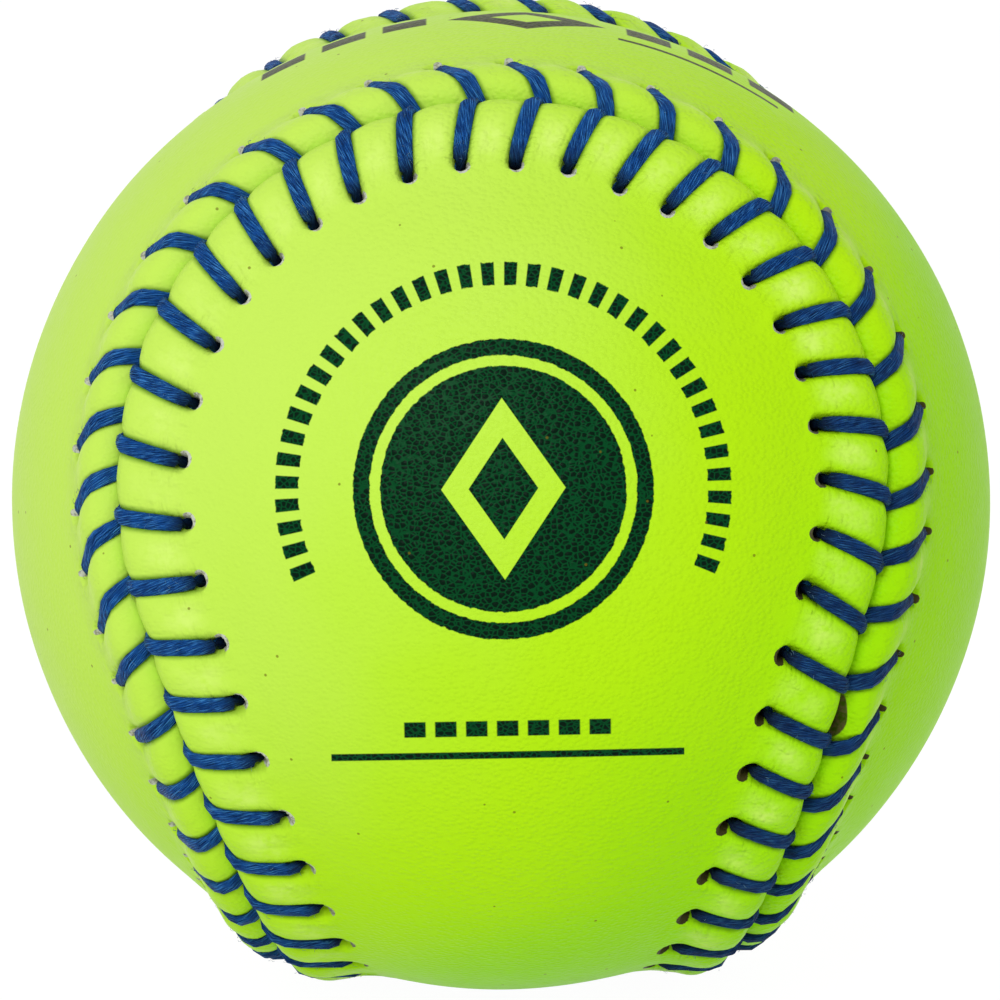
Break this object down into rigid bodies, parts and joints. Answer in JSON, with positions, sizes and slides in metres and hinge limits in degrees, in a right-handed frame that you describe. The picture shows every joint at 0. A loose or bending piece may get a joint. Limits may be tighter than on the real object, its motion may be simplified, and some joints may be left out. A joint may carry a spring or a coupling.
{
  "type": "softball",
  "caption": "Round leather-covered ball for fast-pitch play, with two dumbbell-shaped panels laced together along one raised, winding seam.",
  "frame": {"origin": "middle of the ball", "axes": "+Z through the middle of the side panel's waist, which passes over the top; -Y towards the front panel's front lobe; +X towards the side panel's right lobe. The lobes' middles lean 17.5 degrees away from the equator: the front panel's up, the side panel's down."},
  "size_m": [0.0876, 0.0876, 0.0886],
  "materials": {
    "core": "moulded polyurethane foam with a skin",
    "cement": "dried cover cement",
    "leather": "fine-grained optic yellow leather, satin",
    "thread": "waxed blue thread"
  },
  "bodies": {
    "root": {"core": "core", "cement_film": "cement", "front_panel": "leather", "side_panel": "leather", "first_thread": "thread", "second_thread": "thread"}
  },
  "joints": []
}
